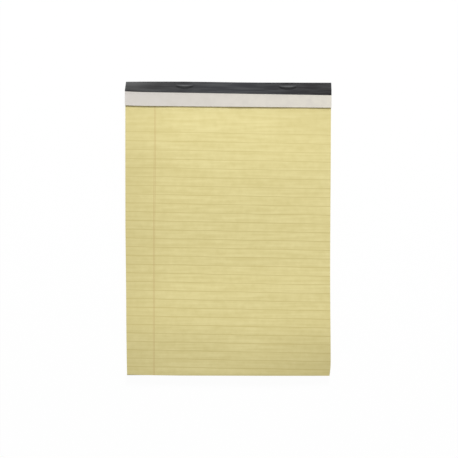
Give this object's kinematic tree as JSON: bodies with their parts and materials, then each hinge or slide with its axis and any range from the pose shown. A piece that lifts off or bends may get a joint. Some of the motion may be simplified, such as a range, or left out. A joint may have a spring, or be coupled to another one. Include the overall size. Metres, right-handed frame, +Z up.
{
  "type": "writing pad",
  "caption": "Ruled yellow writing pad on a chipboard back, stapled at the head under a charcoal binding tape, with a white header strip below the tape.",
  "frame": {"origin": "on the table, under the middle of the pad as it lies on its back", "axes": "+Z up, out of the writing side; +Y along the pad towards the taped head; +X to the reader's right"},
  "size_m": [0.21, 0.3, 0.0077],
  "materials": {
    "chipboard": "grey-brown recycled chipboard, matt, with short fibre flecks",
    "yellow_paper": "uncoated yellow bond paper with faint printed ruling",
    "white_card": "uncoated off-white card",
    "charcoal_tape": "charcoal binding tape with a fine embossed grain, satin",
    "staple_wire": "drawn and galvanised steel wire"
  },
  "bodies": {
    "root": {"backing_board": "chipboard", "sheet_block": "yellow_paper", "header_strip": "white_card", "binding_tape": "charcoal_tape", "wire_staples": "staple_wire"}
  },
  "joints": []
}
